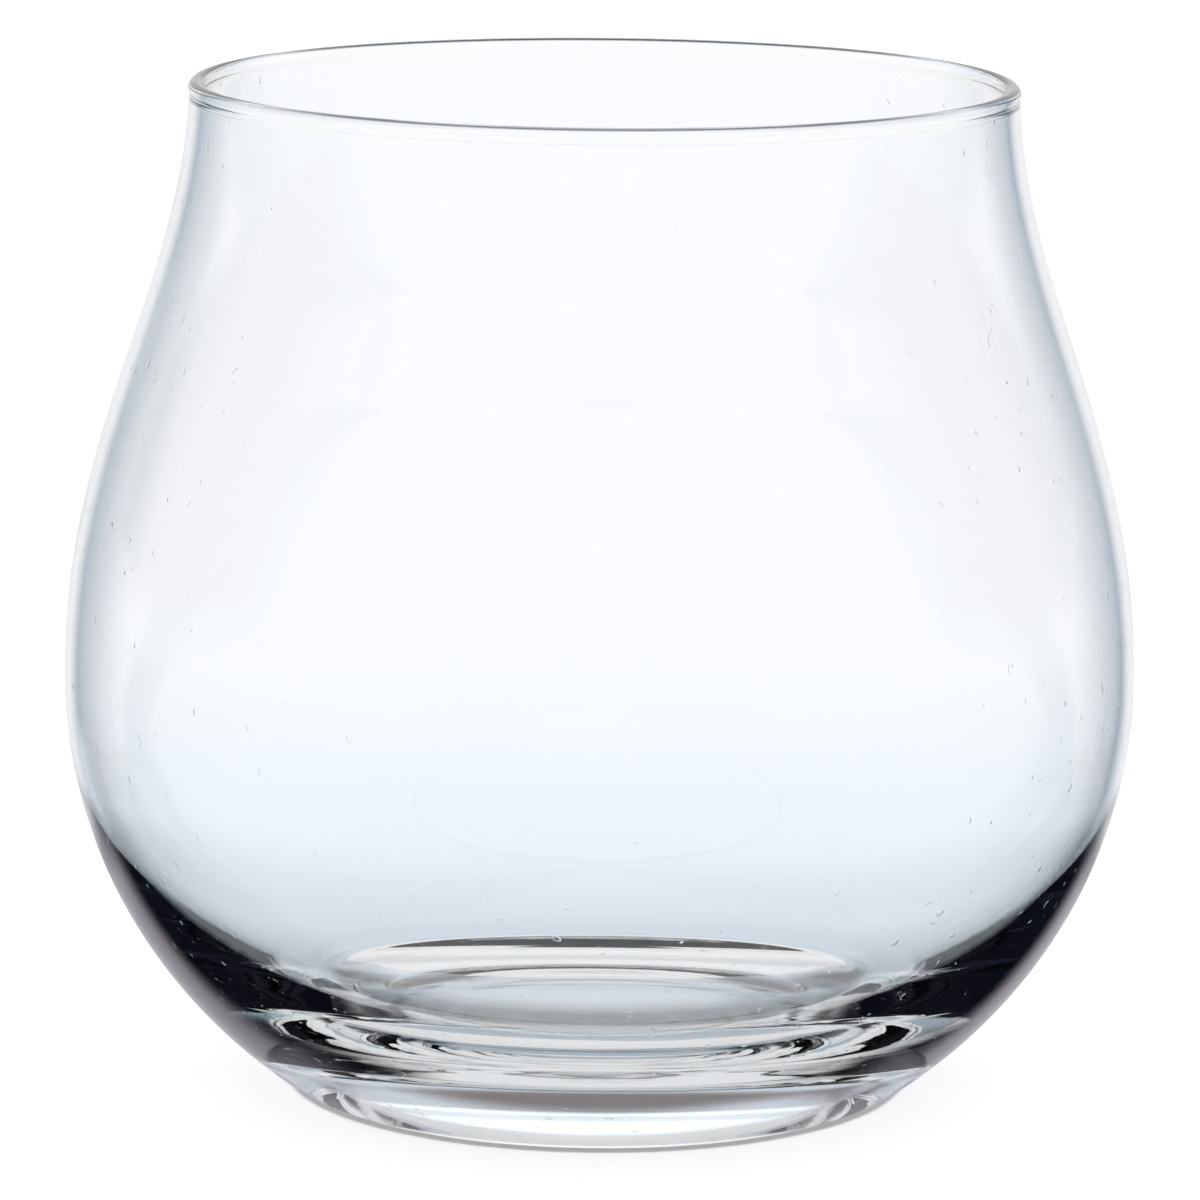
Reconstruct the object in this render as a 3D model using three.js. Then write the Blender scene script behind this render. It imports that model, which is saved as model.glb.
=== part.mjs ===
// Stemless sake glass: one piece of clear glass, a round-bellied bowl that narrows to an open mouth
// and grows thick towards a flat foot. Millimetres, +Z up.
// The origin is the centre of the foot, on the surface that the glass stands on.
import * as THREE from 'three';

// Driving dimensions
const HEIGHT = 75.6; // table to the top of the lip
const BELLY_RADIUS = 40.1; // outside, where the bowl is widest
const BELLY_HEIGHT = 31; // table to the widest place
const BELLY_REACH = 18.5; // how far the belly's upright run pulls on the shoulder curve
const NECK_REACH = 14.5; // how far the neck's upright run pulls on the shoulder curve
const NECK_LEAN = THREE.MathUtils.degToRad(2); // inward lean of the neck under the lip
const LIP_MIDDLE_RADIUS = 30.2; // axis to the middle of the rounded lip
const LIP_BEAD = 0.08; // how far the lip stands proud of the neck on each side
const WALL = 1.05; // glass of the bowl, from the lip to where it starts to thicken
const THICKENING_HEIGHT = 24; // outside height below which the wall grows thicker
const THICKENING_REACH = 7; // how far the even wall pulls on the inner curve below that height
const FLOOR_HEIGHT = 1.6; // table to the middle of the drinking side's floor
const FLOOR_REACH = 30.9; // how far the floor's level middle pulls on the inner curve
const FOOT_RADIUS = 22.9; // where the bowl's outer curve meets the table
const HEEL_RISE = 0.7; // height up to which the edge of the foot is rounded
const RING_WIDTH = 3; // flat ring that carries the glass
const PUSH_UP = 0.3; // hollow of the underside at its centre

// Steps of each stretch of the profile, and facets around the axis
const HOLLOW_STEPS = 5;
const HEEL_STEPS = 3;
const BOWL_STEPS = 10;
const SHOULDER_STEPS = 11;
const LIP_STEPS = 6;
const EVEN_WALL_STEPS = 3;
const FLOOR_STEPS = 14;
const FACETS = 64;

// A point of the profile: distance from the axis and height above the table.
function at(radius, height) {
  return new THREE.Vector2(radius, height);
}

// Half-section of the glass, from the centre of the underside out, up over the lip and back to the axis.
function makeProfile() {
  const bowl = bowlCurve();
  const heel = heelCurve(bowl.getPoint(0));
  const shoulder = shoulderCurve();
  return [
    ...undersidePoints(heel.v0.x - RING_WIDTH),
    ...heel.getPoints(HEEL_STEPS),
    ...bowl.getPoints(BOWL_STEPS).slice(1),
    ...shoulder.getPoints(SHOULDER_STEPS).slice(1),
    ...lipPoints().slice(1),
    ...insideOf(shoulder, SHOULDER_STEPS).slice(1),
    ...insideOf(evenWallCurve(), EVEN_WALL_STEPS).slice(1),
    ...floorCurve().getPoints(FLOOR_STEPS).slice(1),
  ];
}

// The shallow hollow under the foot, part of a large sphere that ends at the flat ring.
function undersidePoints(edgeRadius) {
  const sphere = (edgeRadius ** 2 + PUSH_UP ** 2) / (2 * PUSH_UP);
  const points = [];
  for (let step = 0; step <= HOLLOW_STEPS; step++) {
    const radius = (edgeRadius * step) / HOLLOW_STEPS;
    points.push(at(radius, PUSH_UP - sphere + Math.sqrt(sphere ** 2 - radius ** 2)));
  }
  points[HOLLOW_STEPS].y = 0;
  return points;
}

// How deep the bowl's ellipse reaches below the belly, so that it meets the table at the foot.
function bowlDepth() {
  return BELLY_HEIGHT / Math.sqrt(1 - (FOOT_RADIUS / BELLY_RADIUS) ** 2);
}

// Part of the bowl's outside, an ellipse about the axis, from a height up to the belly.
function bowlAbove(height) {
  const depth = bowlDepth();
  const start = -Math.asin((BELLY_HEIGHT - height) / depth);
  return new THREE.EllipseCurve(0, BELLY_HEIGHT, BELLY_RADIUS, depth, start, 0);
}

// The outside from the rounded edge of the foot to the belly.
function bowlCurve() {
  return bowlAbove(HEEL_RISE);
}

// The stretch of the outside, below the belly, along which the wall is still even.
function evenWallCurve() {
  return bowlAbove(THICKENING_HEIGHT);
}

// The rounded edge of the foot, which takes as much off the flat underside as off the bowl.
function heelCurve(bowlStart) {
  const corner = at(FOOT_RADIUS, 0);
  const flatEnd = at(FOOT_RADIUS - corner.distanceTo(bowlStart), 0);
  return new THREE.QuadraticBezierCurve(flatEnd, corner, bowlStart);
}

// Directions at the top of the neck: along the wall, and out of it.
function neckDirections() {
  return {
    along: at(-Math.sin(NECK_LEAN), Math.cos(NECK_LEAN)),
    outward: at(Math.cos(NECK_LEAN), Math.sin(NECK_LEAN)),
  };
}

// The lip is a round bead on the end of the wall, a little fuller than the wall.
function lipBead() {
  const radius = WALL / 2 + LIP_BEAD;
  const middle = at(LIP_MIDDLE_RADIUS, HEIGHT - radius);
  const sink = Math.sqrt(radius ** 2 - (WALL / 2) ** 2);
  return { radius, middle, sink };
}

// The end of the wall under the bead, on its outer face.
function neckTop() {
  const { along, outward } = neckDirections();
  const { middle, sink } = lipBead();
  return middle.clone().addScaledVector(along, -sink).addScaledVector(outward, WALL / 2);
}

// The outside from the belly to the lip: out of the upright belly, in over the shoulder, up the neck.
function shoulderCurve() {
  const belly = at(BELLY_RADIUS, BELLY_HEIGHT);
  const top = neckTop();
  return new THREE.CubicBezierCurve(
    belly,
    at(BELLY_RADIUS, BELLY_HEIGHT + BELLY_REACH),
    top.clone().addScaledVector(neckDirections().along, -NECK_REACH),
    top,
  );
}

// Over the lip, from the wall's outer face to its inner face.
function lipPoints() {
  const { radius, middle, sink } = lipBead();
  const below = Math.atan2(sink, WALL / 2);
  const start = NECK_LEAN - below;
  const sweep = Math.PI + 2 * below;
  const points = [];
  for (let step = 0; step <= LIP_STEPS; step++) {
    const angle = start + (sweep * step) / LIP_STEPS;
    points.push(at(middle.x + radius * Math.cos(angle), middle.y + radius * Math.sin(angle)));
  }
  return points;
}

// The inside of an outer curve, one wall thickness in, from its upper end down.
function insideOf(curve, steps) {
  const points = [];
  for (let step = steps; step >= 0; step--) {
    const share = step / steps;
    const along = curve.getTangent(share);
    points.push(curve.getPoint(share).add(at(-along.y, along.x).multiplyScalar(WALL)));
  }
  return points;
}

// The drinking side's floor, from the end of the even wall down and level to the axis.
function floorCurve() {
  const outside = evenWallCurve();
  const start = insideOf(outside, 1)[1];
  return new THREE.CubicBezierCurve(
    start,
    start.clone().addScaledVector(outside.getTangent(0), -THICKENING_REACH),
    at(FLOOR_REACH, FLOOR_HEIGHT),
    at(0, FLOOR_HEIGHT),
  );
}

const clearGlass = new THREE.MeshStandardMaterial({
  color: 0xe4ebee,
  roughness: 0.03,
  metalness: 0,
  transparent: true,
  opacity: 0.35,
});

// The half-section turns about the axis; the turning makes +Y its axis, so it is stood up on +Z.
const turned = new THREE.LatheGeometry(makeProfile(), FACETS).rotateX(Math.PI / 2);
const glass = new THREE.Mesh(turned, clearGlass);
glass.name = 'glass';

const sakeGlass = new THREE.Group();
sakeGlass.add(glass);

export default sakeGlass;
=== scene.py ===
"""Stemless sake glass of clear glass, on a plain pale floor in soft studio light."""

import math

import bmesh
import bpy
from bpy.props import (
    FloatProperty,
    FloatVectorProperty,
    IntProperty,
    PointerProperty,
)
from bpy.types import Operator, Panel, PropertyGroup
from mathutils import Matrix, Vector
from mathutils.geometry import interpolate_bezier


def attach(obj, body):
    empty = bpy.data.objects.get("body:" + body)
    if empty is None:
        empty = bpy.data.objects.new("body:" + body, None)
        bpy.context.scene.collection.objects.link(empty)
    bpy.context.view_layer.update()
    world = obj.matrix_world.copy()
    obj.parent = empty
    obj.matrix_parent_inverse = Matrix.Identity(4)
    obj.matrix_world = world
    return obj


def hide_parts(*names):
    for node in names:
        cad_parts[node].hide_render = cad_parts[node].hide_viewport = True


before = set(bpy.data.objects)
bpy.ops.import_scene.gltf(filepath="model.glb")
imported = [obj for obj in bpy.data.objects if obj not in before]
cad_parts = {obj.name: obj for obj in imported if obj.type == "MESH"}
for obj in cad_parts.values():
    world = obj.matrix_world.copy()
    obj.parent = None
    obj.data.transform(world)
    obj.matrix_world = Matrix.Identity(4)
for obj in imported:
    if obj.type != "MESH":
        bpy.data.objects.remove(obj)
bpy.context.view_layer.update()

bl_info = {
    "name": "Sake Glass",
    "version": (1, 0, 0),
    "blender": (4, 5, 0),
    "location": "3D View > Sidebar > Sake Glass",
    "description": "Builds a stemless sake glass and the studio that it stands in",
    "category": "Add Mesh",
}

# Steps along each stretch of the half-section
HOLLOW_STEPS = 10
HEEL_STEPS = 10
BOWL_STEPS = 62
SHOULDER_STEPS = 66
LIP_STEPS = 24
EVEN_WALL_STEPS = 16
INNER_FLOOR_STEPS = 60
RING_LOOPS = (0.06, 0.35, 0.65, 0.94)  # shares of the way across the flat ring
MERGE_DISTANCE = 1e-6
UP = Vector((0, 1))  # in the half-section

# Glass
GLASS_IOR = 1.52
HEEL_HEIGHTS = (0.02, 0.008)  # the heel's rings come in between these heights
RING_STRETCH = (0.045, 0.045, 1)  # draws the noise out sideways, into rings
SPECK_LEVELS = (0.82, 0.86)  # only the highest places of the noise are specks

# Each pair below is the start and the end of a gradual change.
# On the floor under the foot, where rings of light and a contact shadow are painted: distances
# from the axis, in metres
STRIP_EDGE = (0.0192, 0.0186)
LINE_INNER_EDGE = (0.0170, 0.0173)
LINE_OUTER_EDGE = (0.0184, 0.0181)
HEEL_GLOW_EDGE = (0.0225, 0.0245)
UNDER_GLOW_EDGE = (0.0165, 0.0195)
CONTACT_SHADOW_EDGE = (0.0237, 0.0231)

# On the floor around the glass: distances from the axis, in metres
SHADE_EDGE = (0.17, 0.03)
RIM_FLOOR_EDGE = (0.065, 0.08)
OUTSIDE_GLOSS_EDGE = (0.06, 0.09)
FRONT_WALL_EDGE = (0.03, 0.045)
BACK_WALL_EDGE = (0.115, 0.15)
HORIZON_EDGE = (0.06, 0.6)

# On the floor from front to back: along Y, in metres
FRONT_EDGE = (0.012, 0)
BACK_EDGE = (0, 0.04)
WALL_OFFSET = 0.038  # along X, to the wall that mirrors the floor beside it

# How level a ray runs over the floor: 0 is straight down and 1 is along it
STEEP_LIMIT = 0.3
STEEP_LIMIT_MIRRORED = 0.15
STEEP_FADE = (0, 0.24)
OVERHEAD_EDGE = (0.12, 0.2)
STRIP_SLANT = (0.36, 0.44)
# Painted shade: the floor near the glass turns dark to steep rays below the lip
RIM_FLOOR_SHARE = 0.75  # how far the floor near the glass turns dark below the lip

# Counts of mirrorings inside the glass
MANY_MIRRORINGS = 4
GLOW_MIRRORINGS = (1.2, 2.8)

# In the studio: degrees round from straight behind the glass
BACKDROP_TURN = 3
BACKDROP_EDGE = (22, 34)
UPPER_BACKDROP_EDGE = (22, 36)
REAR_EDGE = (105, 145)
WALL_BAND_EDGE = (20, 32)
WALL_LINE_EDGE = (46, 60)
FORWARD_EDGE = (70, 80)

# In the studio: degrees up from the floor, and off the middle of the top light
UPPER_EDGE = (32, 42)
SHEEN_EDGE = (28, 40)
TOP_LIGHT_RISE = 75
TOP_LIGHT_EDGE = (24, 38)

# Stage
FLOOR_RADIUS = 20
FLOOR_SEGMENTS = 96
FLOOR_GAP = 0.00002  # keeps the floor just clear of the foot
FLOOR_ROUGHNESS = 0.04
BOUNCES = 24  # enough for light that wanders about in the thick base
BLACK = (0, 0, 0)
WHITE = (1, 1, 1)

# Camera, in metres and radians, with the lens in millimetres
CAMERA_PLACE = (0, -0.5, 0.1309)
CAMERA_TILT = 0.1867  # down from level
CAMERA_ROLL = 0.0093
CAMERA_LENS = 203.4
CAMERA_SENSOR = 36
CAMERA_CLIP = 0.01


def length(name, description, default):
    """A size of the glass, in metres."""
    return FloatProperty(
        name=name, description=description, default=default, min=0, precision=5, unit="LENGTH"
    )


def scale(name, description, default):
    """A fineness or density, per metre."""
    return FloatProperty(name=name, description=description, default=default, min=0)


def colour(name, description, default):
    """A linear colour without alpha."""
    return FloatVectorProperty(
        name=name,
        description=description,
        default=default,
        size=3,
        min=0,
        soft_max=1,
        subtype="COLOR",
    )


def angle(name, description, degrees):
    """An angle, given in degrees."""
    return FloatProperty(
        name=name, description=description, default=math.radians(degrees), subtype="ANGLE"
    )


class GlassSizes(PropertyGroup):
    """Sizes of the half-section that the glass is turned from."""

    height: length("Height", "Table to the top of the lip", 0.0756)
    belly_radius: length("Belly radius", "Outside, where the bowl is widest", 0.0401)
    belly_height: length("Belly height", "Table to the widest place", 0.031)
    belly_reach: length("Belly reach", "Pull of the belly on the shoulder curve", 0.0185)
    neck_reach: length("Neck reach", "Pull of the neck on the shoulder curve", 0.0145)
    neck_lean: angle("Neck lean", "Inward lean of the neck under the lip", 2)
    lip_middle_radius: length("Lip radius", "Axis to the middle of the lip", 0.0302)
    lip_bead: length("Lip bead", "How far the lip stands proud of the neck", 0.00008)
    wall: length("Wall", "Glass of the bowl above the thickening", 0.00105)
    thickening_height: length("Thickening height", "Below it the wall grows thicker", 0.024)
    thickening_reach: length("Thickening reach", "Pull of the even wall on the inner curve", 0.007)
    floor_height: length("Floor height", "Table to the middle of the inner floor", 0.0016)
    floor_reach: length("Floor reach", "Pull of the level floor on the inner curve", 0.0309)
    foot_radius: length("Foot radius", "Where the outer curve meets the table", 0.0229)
    heel_rise: length("Heel rise", "Height up to which the foot's edge is rounded", 0.0007)
    ring_width: length("Ring width", "Flat ring that carries the glass", 0.003)
    push_up: length("Push-up", "Hollow of the underside at its centre", 0.0003)
    segments: IntProperty(
        name="Segments", description="Steps around the axis", default=256, min=16, max=512
    )


class GlassLook(PropertyGroup):
    """Colour and surface of the glass."""

    tint: colour("Tint", "Colour that light takes on in thick glass", (0.884, 0.895, 0.903))
    tint_density: scale("Tint density", "How fast the tint builds up, per metre", 20)
    wave_scale: scale("Wave scale", "Waves in a metre", 150)
    wave_height: length("Wave height", "Unevenness of the blown wall", 0.000005)
    ring_scale: scale("Ring scale", "Rings in a metre", 1300)
    ring_height: length("Ring height", "Unevenness of the heel", 0.000004)
    speck_scale: scale("Speck scale", "Fineness of the specks", 1100)
    speck_height: length("Speck height", "Height of a tiny speck", 0.000015)
    haze: FloatProperty(name="Haze", description="Largest roughness", default=0.02, min=0, max=1)


class StageLook(PropertyGroup):
    """Floor and studio around the glass."""

    light_colour: colour("Light", "Even light on matt surfaces", (0.9, 0.9, 0.9))
    white_colour: colour("Floor white", "Glow that whitens the floor", (0.74, 0.75, 0.76))
    # Painted shadow: the floor's white glow drops to this at the foot's edge
    painted_contact_shadow_colour: colour("Floor contact", "The same glow under the foot", (0.25, 0.25, 0.25))
    floor_colour: colour("Floor", "Paint of the pale floor", (0.47, 0.465, 0.475))
    # Painted shade: the dark tone that the floor takes for some rays
    painted_dark_colour: colour("Floor, deep", "Floor after many mirrorings", (0.010, 0.013, 0.020))
    sheen_colour: colour("Floor sheen", "Sheen of the open floor", (0.565, 0.577, 0.592))
    # Painted shade: the sheen is darker and bluer close to the glass
    shade_colour: colour("Floor shade", "Sheen close to the glass", (0.49, 0.577, 0.632))
    rim_colour: colour("Floor mirrored", "Sheen that the glass mirrors", (0.69, 0.65, 0.705))
    # Painted light: glowing rings on the floor under the foot, seen through the glass
    painted_strip_colour: colour("Foot strip", "Bright strip under the foot", (0.86, 0.89, 0.92))
    painted_line_colour: colour("Foot line", "Thin line in the strip", (0.5, 0.51, 0.53))
    painted_grey_colour: colour("Foot grey", "The strip from a steeper side", (0.36, 0.37, 0.385))
    painted_lens_colour: colour("Foot edge", "Glow outside the strip", (0.2, 0.185, 0.19))
    painted_under_glow_colour: colour("Foot middle", "Glow inside the foot's ring", (0.13, 0.135, 0.145))
    painted_above_glow_colour: colour("Foot from above", "Glow seen from overhead", (0.42, 0.425, 0.435))
    # Painted reflection: set tones that weak mirrorings in the glass show
    painted_band_colour: colour("Wall band", "Weak mirrorings of the backdrop", (0.95, 0.96, 0.97))
    painted_dip_colour: colour("Wall line", "Weak mirrorings past its edge", (0.36, 0.44, 0.52))
    painted_even_colour: colour("Wall", "Weak mirrorings from elsewhere", (0.90, 0.94, 0.97))
    painted_front_colour: colour("Wall, floor", "Weak mirrorings of the floor", (0.52, 0.62, 0.70))
    backdrop_colour: colour("Backdrop", "White sheet behind the glass", (0.98, 0.99, 1.0))
    surround_colour: colour("Surround", "White that clear glass shows", (0.98, 0.99, 1.0))
    side_colour: colour("Sides", "Dark sides of the studio", (0.002, 0.002, 0.005))
    upper_colour: colour("Upper sides", "Dark upper sides", (0.015, 0.016, 0.022))
    rear_colour: colour("Rear", "Room behind the camera", (0.015, 0.016, 0.02))
    top_colour: colour("Top light", "Soft light overhead", (1.0, 1.0, 1.0))


def bezier(start, pull_start, pull_end, end, steps):
    """Points of a cubic curve in the half-section."""
    corners = (point.to_3d() for point in (start, pull_start, pull_end, end))
    return [point.to_2d() for point in interpolate_bezier(*corners, steps + 1)]


def offset_inward(points, first_along, last_along, distance):
    """Points moved to their left by a distance; the end directions are given."""
    moved = []
    last = len(points) - 1
    for i, point in enumerate(points):
        if i == 0:
            along = first_along
        elif i == last:
            along = last_along
        else:
            along = points[i + 1] - points[i - 1]
        along = along.normalized()
        moved.append(point + Vector((-along.y, along.x)) * distance)
    return moved


def bowl_points(sizes, low, steps):
    """The bowl's outside, an ellipse from a height up to the belly, and its direction there."""
    radius, middle = sizes.belly_radius, sizes.belly_height
    depth = middle / math.sqrt(1 - (sizes.foot_radius / radius) ** 2)
    start = -math.asin((middle - low) / depth)
    points = []
    for i in range(steps + 1):
        turn = start * (1 - i / steps)
        points.append(Vector((radius * math.cos(turn), middle + depth * math.sin(turn))))
    first_along = Vector((-radius * math.sin(start), depth * math.cos(start)))
    return points, first_along


def hollow_points(sizes, edge):
    """The shallow hollow under the foot, part of a large sphere."""
    sphere = (edge**2 + sizes.push_up**2) / (2 * sizes.push_up)
    points = []
    for i in range(HOLLOW_STEPS + 1):
        radius = edge * i / HOLLOW_STEPS
        height = sizes.push_up - sphere + math.sqrt(sphere**2 - radius**2)
        points.append(Vector((radius, height)))
    return points


def foot_points(sizes, bowl_start):
    """The hollow, the flat ring and the rounded heel, out to where the bowl starts."""
    corner = Vector((sizes.foot_radius, 0))
    flat_end = Vector((sizes.foot_radius - (corner - bowl_start).length, 0))
    hollow = hollow_points(sizes, flat_end.x - sizes.ring_width)
    ring = [hollow[-1].lerp(flat_end, share) for share in RING_LOOPS]
    # With both pulls two thirds of the way to the corner, the cubic curve is a quadratic one.
    heel = bezier(
        flat_end,
        flat_end.lerp(corner, 2 / 3),
        bowl_start.lerp(corner, 2 / 3),
        bowl_start,
        HEEL_STEPS,
    )
    return hollow + ring + heel


def shoulder_points(sizes, belly):
    """The outside from the belly to the neck, over the round lip, and the inside back down."""
    along = Vector((-math.sin(sizes.neck_lean), math.cos(sizes.neck_lean)))
    outward = Vector((along.y, -along.x))
    half_wall = sizes.wall / 2
    bead = half_wall + sizes.lip_bead
    middle = Vector((sizes.lip_middle_radius, sizes.height - bead))
    sink = math.sqrt(bead**2 - half_wall**2)
    top = middle - along * sink + outward * half_wall
    outside = bezier(
        belly,
        belly + UP * sizes.belly_reach,
        top - along * sizes.neck_reach,
        top,
        SHOULDER_STEPS,
    )
    below = math.atan2(sink, half_wall)
    lip = []
    for i in range(1, LIP_STEPS):
        turn = sizes.neck_lean - below + (math.pi + 2 * below) * i / LIP_STEPS
        lip.append(middle + Vector((math.cos(turn), math.sin(turn))) * bead)
    inside = offset_inward(outside, UP, along, sizes.wall)
    return outside + lip + inside[::-1]


def inner_floor_points(sizes):
    """The inside below the belly: the even wall, then down and level to the axis."""
    outside, outside_along = bowl_points(sizes, sizes.thickening_height, EVEN_WALL_STEPS)
    even_wall = offset_inward(outside, outside_along, UP, sizes.wall)
    start = even_wall[0]
    floor = bezier(
        start,
        start - outside_along.normalized() * sizes.thickening_reach,
        Vector((sizes.floor_reach, sizes.floor_height)),
        Vector((0, sizes.floor_height)),
        INNER_FLOOR_STEPS,
    )
    return even_wall[::-1] + floor[1:]


def half_section(sizes):
    """The outline of the glass from the axis out below, up over the lip and back to the axis."""
    bowl, _ = bowl_points(sizes, sizes.heel_rise, BOWL_STEPS)
    return (
        foot_points(sizes, bowl[0])
        + bowl[1:]
        + shoulder_points(sizes, bowl[-1])[1:]
        + inner_floor_points(sizes)[1:]
    )


def turned_mesh(name, section, segments):
    """A closed mesh turned about the Z axis from a half-section that ends on the axis."""
    bm = bmesh.new()
    verts = [bm.verts.new((point.x, 0, point.y)) for point in section]
    edges = [bm.edges.new(pair) for pair in zip(verts, verts[1:])]
    bmesh.ops.spin(
        bm,
        geom=verts + edges,
        cent=(0, 0, 0),
        axis=(0, 0, 1),
        angle=math.tau,
        steps=segments,
        use_merge=True,
    )
    bmesh.ops.remove_doubles(bm, verts=bm.verts, dist=MERGE_DISTANCE)
    bmesh.ops.recalc_face_normals(bm, faces=bm.faces)
    for face in bm.faces:
        face.smooth = True
    mesh = bpy.data.meshes.new(name)
    bm.to_mesh(mesh)
    bm.free()
    return mesh


class Nodes:
    """Short ways to add and join nodes of one tree."""

    def __init__(self, tree):
        self.tree = tree
        tree.nodes.clear()

    def add(self, kind, **settings):
        node = self.tree.nodes.new(kind)
        for key, value in settings.items():
            setattr(node, key, value)
        return node

    def feed(self, socket, value):
        """Links an output to an input, or sets the input's value."""
        if isinstance(value, bpy.types.NodeSocket):
            self.tree.links.new(value, socket)
        else:
            socket.default_value = value

    def math(self, operation, *values):
        node = self.add("ShaderNodeMath", operation=operation)
        for socket, value in zip(node.inputs, values):
            self.feed(socket, value)
        return node.outputs[0]

    def both(self, first, second):
        """1 where two masks are 1."""
        return self.math("MULTIPLY", first, second)

    def either(self, first, second):
        """1 where at least one of two masks is 1."""
        return self.math("MAXIMUM", first, second)

    def without(self, mask):
        """1 where a mask is 0."""
        return self.math("SUBTRACT", 1, mask)

    def counts(self, number, least, most):
        """1 where a whole number is from least to most."""
        return self.math("COMPARE", number, (least + most) / 2, (most - least + 1) / 2)

    def step(self, value, edge):
        """0 before an edge's start, 1 past its end, and a smooth change between."""
        node = self.add("ShaderNodeMapRange", interpolation_type="SMOOTHSTEP", clamp=True)
        self.feed(node.inputs["Value"], value)
        node.inputs["From Min"].default_value = edge[0]
        node.inputs["From Max"].default_value = edge[1]
        return node.outputs["Result"]

    def angle_step(self, value, edge):
        """The same for an angle, with the edge in degrees."""
        return self.step(value, [math.radians(degrees) for degrees in edge])

    def noise(self, place, fineness, detail):
        node = self.add("ShaderNodeTexNoise")
        node.inputs["Scale"].default_value = fineness
        node.inputs["Detail"].default_value = detail
        self.feed(node.inputs["Vector"], place)
        return node.outputs["Fac"]

    def split(self, vector):
        """X, Y and Z of a vector."""
        node = self.add("ShaderNodeSeparateXYZ")
        self.feed(node.inputs[0], vector)
        return node.outputs

    def mix(self, factor, first, second):
        """A colour between two colours."""
        node = self.add("ShaderNodeMix", data_type="RGBA")
        self.feed(node.inputs[0], factor)
        for socket, value in ((node.inputs[6], first), (node.inputs[7], second)):
            if not isinstance(value, bpy.types.NodeSocket):
                value = (*value, 1)
            self.feed(socket, value)
        return node.outputs[2]

    def blend(self, factor, first, second):
        """A number between two numbers."""
        node = self.add("ShaderNodeMix")
        for socket, value in zip(node.inputs[0:1] + node.inputs[2:4], (factor, first, second)):
            self.feed(socket, value)
        return node.outputs[0]

    def sum(self, first, second):
        """Two shaders laid over each other."""
        node = self.add("ShaderNodeAddShader")
        self.feed(node.inputs[0], first)
        self.feed(node.inputs[1], second)
        return node.outputs[0]


def glass_material(look):
    """Clear glass, faintly tinted and wavy, with fine rings at the heel and tiny specks."""
    material = bpy.data.materials.new("clear_glass")
    material.use_nodes = True
    nodes = Nodes(material.node_tree)
    place = nodes.add("ShaderNodeTexCoord").outputs["Object"]

    wave = nodes.noise(place, look.wave_scale, 0)
    stretch = nodes.add("ShaderNodeVectorMath", operation="MULTIPLY")
    nodes.feed(stretch.inputs[0], place)
    stretch.inputs[1].default_value = RING_STRETCH
    ring = nodes.noise(stretch.outputs[0], look.ring_scale, 1)
    ring = nodes.both(ring, nodes.step(nodes.split(place)["Z"], HEEL_HEIGHTS))
    speck = nodes.step(nodes.noise(place, look.speck_scale, 0), SPECK_LEVELS)

    height = nodes.math("MULTIPLY", wave, look.wave_height)
    height = nodes.math("ADD", height, nodes.math("MULTIPLY", ring, look.ring_height))
    height = nodes.math("ADD", height, nodes.math("MULTIPLY", speck, look.speck_height))
    bump = nodes.add("ShaderNodeBump")
    bump.inputs["Distance"].default_value = 1
    nodes.feed(bump.inputs["Height"], height)

    shader = nodes.add("ShaderNodeBsdfPrincipled")
    shader.inputs["Base Color"].default_value = (*WHITE, 1)
    shader.inputs["IOR"].default_value = GLASS_IOR
    shader.inputs["Transmission Weight"].default_value = 1
    nodes.feed(shader.inputs["Roughness"], nodes.math("MULTIPLY", wave, look.haze))
    nodes.feed(shader.inputs["Normal"], bump.outputs[0])
    inside = nodes.add("ShaderNodeVolumeAbsorption")
    inside.inputs["Color"].default_value = (*look.tint, 1)
    inside.inputs["Density"].default_value = look.tint_density
    out = nodes.add("ShaderNodeOutputMaterial")
    nodes.feed(out.inputs["Surface"], shader.outputs[0])
    nodes.feed(out.inputs["Volume"], inside.outputs[0])
    return material


class StageNodes(Nodes):
    """Nodes of the floor and the world, which answer a ray by the way that it has come."""

    def __init__(self, tree, look):
        super().__init__(tree)
        self.look = look
        path = self.add("ShaderNodeLightPath").outputs
        self.camera = path["Is Camera Ray"]
        self.mirrored = path["Is Reflection Ray"]
        self.refracted = path["Is Transmission Ray"]
        self.glossy = path["Is Glossy Ray"]
        self.diffuse = path["Is Diffuse Ray"]
        self.bounces = path["Ray Depth"]
        self.mirrorings = path["Glossy Depth"]
        self.crossings = path["Transmission Depth"]
        self.scatterings = path["Diffuse Depth"]

    def outside_gloss(self, most_bounces):
        """Rays that the outside of the glass mirrors, early on their way."""
        return self.both(self.mirrored, self.counts(self.bounces, 0, most_bounces))

    def sent_back(self, forward):
        """Rays that the back wall sends forward again: they have crossed two walls or more."""
        return self.both(self.without(self.counts(self.crossings, 0, 3)), forward)

    def inside_gloss(self, sent_back):
        """Rays that left the glass after one mirroring inside, or up to three if sent back."""
        once = self.counts(self.mirrorings, 1, 1)
        weak = self.either(once, self.both(sent_back, self.counts(self.mirrorings, 1, 3)))
        weak = self.both(weak, self.without(self.mirrored))
        return self.both(weak, self.counts(self.scatterings, 0, 0))

    def painted_reflection_tone(self, turn, elsewhere):
        """Painted reflection: a set tone for weak mirrorings, by how far round from the backdrop
        they look.
        """
        past_band = self.angle_step(turn, WALL_BAND_EDGE)
        tone = self.mix(past_band, self.look.painted_band_colour, self.look.painted_dip_colour)
        return self.mix(self.angle_step(turn, WALL_LINE_EDGE), tone, elsewhere)


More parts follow.
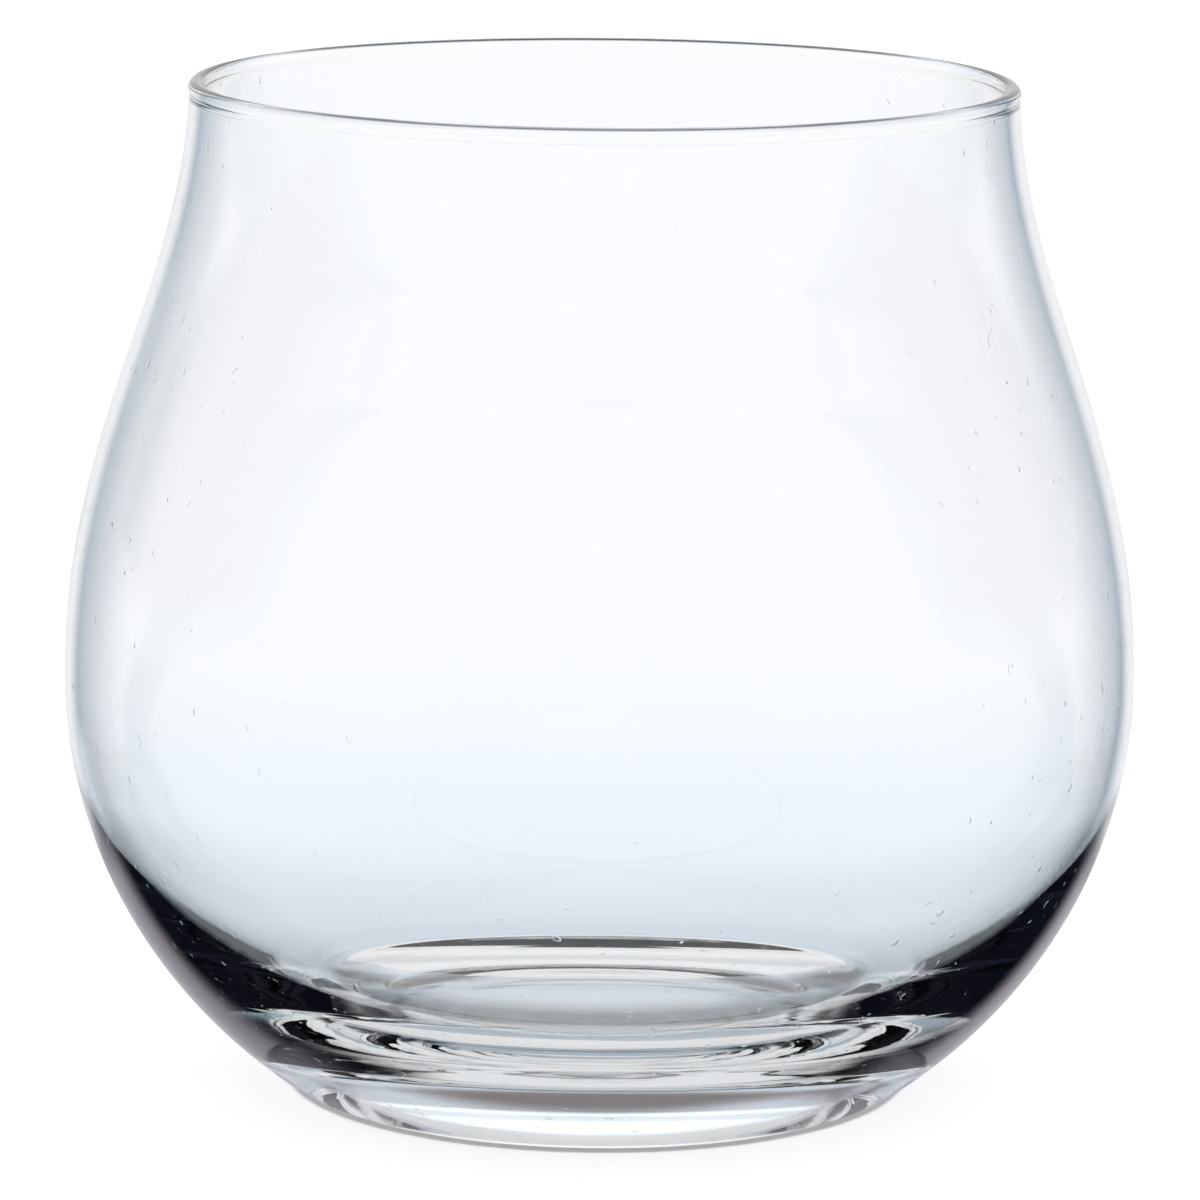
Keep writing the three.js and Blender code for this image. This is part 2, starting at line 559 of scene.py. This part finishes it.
class FloorNodes(StageNodes):
    """Nodes of the pale floor: its paint with painted shade, its sheen, and its glow with painted
    light, a painted shadow and painted reflection tones.
    """

    def __init__(self, tree, look):
        super().__init__(tree, look)
        place = self.add("ShaderNodeTexCoord").outputs["Object"]
        self.x, self.y, _ = self.split(place)
        span = self.add("ShaderNodeVectorMath", operation="LENGTH")
        self.feed(span.inputs[0], place)
        self.span = span.outputs["Value"]
        self.level = self.add("ShaderNodeLayerWeight").outputs["Facing"]

        self.back = self.sent_back(self.step(self.y, FRONT_EDGE))
        self.even = self.painted_tone_rays()
        self.steep = self.steeply_met()
        self.away = self.step(self.span, RIM_FLOOR_EDGE)
        self.slope = self.step(self.level, OVERHEAD_EDGE)

    def painted_tone_rays(self):
        """Rays that see a painted set tone in place of the floor's reflection, because clear glass
        mirrors the floor only weakly.
        """
        outside = self.both(self.outside_gloss(1), self.step(self.span, OUTSIDE_GLOSS_EDGE))
        reach = self.blend(
            self.step(self.y, BACK_EDGE),
            self.step(self.span, FRONT_WALL_EDGE),
            self.step(self.span, BACK_WALL_EDGE),
        )
        reach = self.either(reach, self.back)
        return self.either(outside, self.both(self.inside_gloss(self.back), reach))

    def steeply_met(self):
        """Rays that come down on the floor, rather than along it."""
        limit = self.blend(self.mirrored, STEEP_LIMIT, STEEP_LIMIT_MIRRORED)
        return self.without(self.step(self.math("SUBTRACT", self.level, limit), STEEP_FADE))

    def paint(self):
        """Pale, with painted shade: dark after many mirrorings, to mirrored rays, and to steep
        rays that have left the lip.
        """
        look = self.look
        often = self.math("MINIMUM", self.mirrorings, MANY_MIRRORINGS)
        often = self.math("DIVIDE", often, MANY_MIRRORINGS)
        tone = self.mix(often, look.floor_colour, look.painted_dark_colour)
        tone = self.mix(self.mirrored, tone, look.painted_dark_colour)
        # Painted shade: the floor goes dark to steep rays through the glass, near it and below the
        # lip
        dark = self.either(self.away, self.math("MULTIPLY", self.slope, RIM_FLOOR_SHARE))
        dark = self.both(self.both(self.steep, self.refracted), dark)
        tone = self.mix(dark, tone, look.painted_dark_colour)
        return self.mix(self.even, tone, BLACK)

    def sheen(self):
        """Soft mirroring of the studio, for rays that run along the floor."""
        look = self.look
        # The sheen is a real gloss; its tone is painted by place and ray: painted shade makes it
        # darker and bluer close to the glass, and rays that the glass has mirrored get a brighter
        # set tone
        near = self.step(self.span, SHADE_EDGE)
        tone = self.mix(near, look.sheen_colour, look.shade_colour)
        tone = self.mix(self.mirrored, tone, look.rim_colour)
        slant = self.without(self.either(self.steep, self.camera))
        return self.mix(self.both(slant, self.without(self.even)), BLACK, tone)

    def painted_foot_glow(self):
        """Painted light: glowing rings painted on the floor under the foot, which show through the
        thick base.
        """
        look = self.look
        line = self.both(
            self.step(self.span, LINE_INNER_EDGE), self.step(self.span, LINE_OUTER_EDGE)
        )
        ring = self.mix(line, look.painted_strip_colour, look.painted_line_colour)
        ring = self.mix(self.step(self.level, STRIP_SLANT), look.painted_grey_colour, ring)
        ring = self.mix(self.step(self.span, STRIP_EDGE), look.painted_lens_colour, ring)
        ring = self.mix(self.step(self.span, HEEL_GLOW_EDGE), ring, BLACK)
        under = self.mix(self.step(self.span, UNDER_GLOW_EDGE), look.painted_under_glow_colour, BLACK)
        overhead = self.without(self.either(self.away, self.slope))
        under = self.mix(overhead, under, look.painted_above_glow_colour)
        tone = self.mix(self.math("MINIMUM", self.mirrorings, 1), under, ring)
        return self.mix(self.step(self.mirrorings, GLOW_MIRRORINGS), tone, BLACK)

    def painted_reflection_glow(self):
        """Painted reflection: the floor's set tone in weak mirrorings, which fades into the
        world's far off.
        """
        aside = self.math("SUBTRACT", self.math("ABSOLUTE", self.x), WALL_OFFSET)
        turn = self.math("ARCTAN2", self.math("MAXIMUM", aside, 0), self.y)
        far = self.either(self.back, self.step(self.span, HORIZON_EDGE))
        elsewhere = self.mix(far, self.look.painted_front_colour, self.look.painted_even_colour)
        return self.painted_reflection_tone(turn, elsewhere)

    def glow(self):
        """White to the camera with a painted contact shadow at the foot's edge, painted rings of
        light through the foot, and a painted set tone for weak mirrorings.
        """
        contact = self.step(self.span, CONTACT_SHADOW_EDGE)
        white = self.mix(contact, self.look.white_colour, self.look.painted_contact_shadow_colour)
        tone = self.mix(self.camera, self.painted_foot_glow(), white)
        return self.mix(self.even, tone, self.painted_reflection_glow())


def floor_material(look):
    """Pale floor with a sheen, which keeps the shadow of the glass and is white to the camera."""
    material = bpy.data.materials.new("pale_floor")
    material.use_nodes = True
    nodes = FloorNodes(material.node_tree, look)
    paint = nodes.add("ShaderNodeBsdfDiffuse")
    nodes.feed(paint.inputs["Color"], nodes.paint())
    sheen = nodes.add("ShaderNodeBsdfGlossy")
    sheen.inputs["Roughness"].default_value = FLOOR_ROUGHNESS
    nodes.feed(sheen.inputs["Color"], nodes.sheen())
    # Besides the even white, the glow holds painted light, a painted shadow and painted reflection
    # tones
    glow = nodes.add("ShaderNodeEmission")
    nodes.feed(glow.inputs["Color"], nodes.glow())
    seen = nodes.either(nodes.camera, nodes.refracted)
    nodes.feed(glow.inputs["Strength"], nodes.either(seen, nodes.even))

    surface = nodes.sum(paint.outputs[0], sheen.outputs[0])
    surface = nodes.sum(surface, glow.outputs[0])
    out = nodes.add("ShaderNodeOutputMaterial")
    nodes.feed(out.inputs["Surface"], surface)
    return material


class StudioNodes(StageNodes):
    """Nodes of the world: what a ray finds that leaves the glass and the floor."""

    def __init__(self, tree, look):
        super().__init__(tree, look)
        self.aim = self.add("ShaderNodeTexCoord").outputs["Generated"]
        x, y, z = self.split(self.aim)
        turn = self.math("ADD", self.math("ARCTAN2", x, y), math.radians(BACKDROP_TURN))
        self.turn = self.math("ABSOLUTE", turn)
        self.rise = self.math("ARCSINE", z)

    def walls(self):
        """White sheet behind the glass, between dark sides and a dark rear."""
        look = self.look
        rear = self.angle_step(self.turn, REAR_EDGE)
        lower = self.angle_step(self.turn, BACKDROP_EDGE)
        lower = self.mix(lower, look.backdrop_colour, look.side_colour)
        lower = self.mix(rear, lower, look.rear_colour)
        upper = self.angle_step(self.turn, UPPER_BACKDROP_EDGE)
        upper = self.mix(upper, look.backdrop_colour, look.upper_colour)
        upper = self.mix(rear, upper, look.rear_colour)
        return self.mix(self.angle_step(self.rise, UPPER_EDGE), lower, upper)

    def room(self):
        """The walls under a soft light, which shows only after many mirrorings."""
        lamp = math.radians(TOP_LIGHT_RISE)
        facing = self.add("ShaderNodeVectorMath", operation="DOT_PRODUCT")
        self.feed(facing.inputs[0], self.aim)
        facing.inputs[1].default_value = (0, math.cos(lamp), math.sin(lamp))
        off_lamp = self.math("ARCCOSINE", facing.outputs["Value"])
        off_lamp = self.either(
            self.angle_step(off_lamp, TOP_LIGHT_EDGE),
            self.counts(self.mirrorings, 0, MANY_MIRRORINGS - 1),
        )
        return self.mix(off_lamp, self.look.top_colour, self.walls())

    def sky(self):
        """The room in the glass with painted set tones for weak mirrorings, and plain light or
        white for every other ray.
        """
        look = self.look
        gloss = self.outside_gloss(2)
        back = self.sent_back(self.angle_step(self.turn, FORWARD_EDGE))
        even = self.either(gloss, self.inside_gloss(back))

        floor_sheen = self.both(self.mirrored, self.without(gloss))
        floor_sheen = self.both(floor_sheen, self.counts(self.mirrorings, 1, 1))
        high = self.angle_step(self.rise, SHEEN_EDGE)
        # Painted reflection: once-mirrored rays that rise steeply get a set tone
        tone = self.mix(
            floor_sheen, self.room(), self.mix(high, look.backdrop_colour, look.painted_even_colour)
        )
        tone = self.mix(self.counts(self.mirrorings, 0, 0), tone, look.surround_colour)
        tone = self.mix(self.glossy, look.light_colour, tone)
        # Painted reflection: weak mirrorings get a set tone
        tone = self.mix(even, tone, self.painted_reflection_tone(self.turn, look.painted_even_colour))
        tone = self.mix(self.diffuse, tone, look.light_colour)
        return self.mix(self.camera, tone, WHITE)


def studio_world(look):
    """A studio with no lamps, whose walls and top light the glass and the floor."""
    world = bpy.data.worlds.new("studio")
    world.use_nodes = True
    nodes = StudioNodes(world.node_tree, look)
    sky = nodes.add("ShaderNodeBackground")
    nodes.feed(sky.inputs["Color"], nodes.sky())
    out = nodes.add("ShaderNodeOutputWorld")
    nodes.feed(out.inputs["Surface"], sky.outputs[0])
    return world


def pale_floor(look):
    """A wide disc, just under the foot."""
    bm = bmesh.new()
    bmesh.ops.create_circle(bm, cap_ends=True, segments=FLOOR_SEGMENTS, radius=FLOOR_RADIUS)
    mesh = bpy.data.meshes.new("floor")
    bm.to_mesh(mesh)
    bm.free()
    mesh.materials.append(floor_material(look))
    floor = bpy.data.objects.new("floor", mesh)
    floor.location.z = -FLOOR_GAP
    return floor


def photo_camera():
    """A long lens that looks a little down on the glass."""
    camera = bpy.data.objects.new("camera", bpy.data.cameras.new("camera"))
    camera.data.sensor_width = CAMERA_SENSOR
    camera.data.lens = CAMERA_LENS
    camera.data.clip_start = CAMERA_CLIP
    camera.location = CAMERA_PLACE
    tilt = Matrix.Rotation(math.pi / 2 - CAMERA_TILT, 3, "X")
    roll = Matrix.Rotation(CAMERA_ROLL, 3, "Z")
    camera.rotation_euler = (tilt @ roll).to_euler()
    return camera


class SAKEGLASS_OT_glass(Operator):
    """Turn the glass from its half-section and give it its material"""

    bl_idname = "sake_glass.glass"
    bl_label = "Build Glass"

    def execute(self, context):
        sizes = context.scene.sake_glass_sizes
        mesh = turned_mesh("glass_body", half_section(sizes), sizes.segments)
        body = bpy.data.objects.new("glass_body", mesh)
        context.collection.objects.link(body)
        mesh.materials.append(glass_material(context.scene.sake_glass_look))
        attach(body, "root")
        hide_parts("glass")
        return {"FINISHED"}


class SAKEGLASS_OT_stage(Operator):
    """Lay the floor, set the studio light and place the camera"""

    bl_idname = "sake_glass.stage"
    bl_label = "Build Stage"

    def execute(self, context):
        scene = context.scene
        look = scene.sake_glass_stage
        floor = pale_floor(look)
        context.collection.objects.link(floor)
        scene.world = studio_world(look)
        scene.view_settings.view_transform = "Standard"
        scene.cycles.max_bounces = BOUNCES
        scene.cycles.glossy_bounces = BOUNCES
        scene.cycles.transmission_bounces = BOUNCES
        scene.camera = photo_camera()
        context.collection.objects.link(scene.camera)
        return {"FINISHED"}


class SAKEGLASS_PT_panel(Panel):
    """Sizes, colours and steps of the sake glass"""

    bl_label = "Sake Glass"
    bl_space_type = "VIEW_3D"
    bl_region_type = "UI"
    bl_category = "Sake Glass"

    def draw(self, context):
        layout = self.layout
        for group in ("sake_glass_sizes", "sake_glass_look", "sake_glass_stage"):
            settings = getattr(context.scene, group)
            box = layout.box()
            for key in settings.__annotations__:
                box.prop(settings, key)
        layout.operator(SAKEGLASS_OT_glass.bl_idname)
        layout.operator(SAKEGLASS_OT_stage.bl_idname)


CLASSES = (
    GlassSizes,
    GlassLook,
    StageLook,
    SAKEGLASS_OT_glass,
    SAKEGLASS_OT_stage,
    SAKEGLASS_PT_panel,
)


def register():
    """Add the classes and their settings to Blender."""
    for cls in CLASSES:
        bpy.utils.register_class(cls)
    bpy.types.Scene.sake_glass_sizes = PointerProperty(type=GlassSizes)
    bpy.types.Scene.sake_glass_look = PointerProperty(type=GlassLook)
    bpy.types.Scene.sake_glass_stage = PointerProperty(type=StageLook)


def unregister():
    """Take the classes and their settings out of Blender."""
    del bpy.types.Scene.sake_glass_stage
    del bpy.types.Scene.sake_glass_look
    del bpy.types.Scene.sake_glass_sizes
    for cls in reversed(CLASSES):
        bpy.utils.unregister_class(cls)


def main():
    """Register the add-on, then build the glass and its stage."""
    register()
    bpy.ops.sake_glass.glass()
    bpy.ops.sake_glass.stage()


if __name__ == "__main__":
    main()
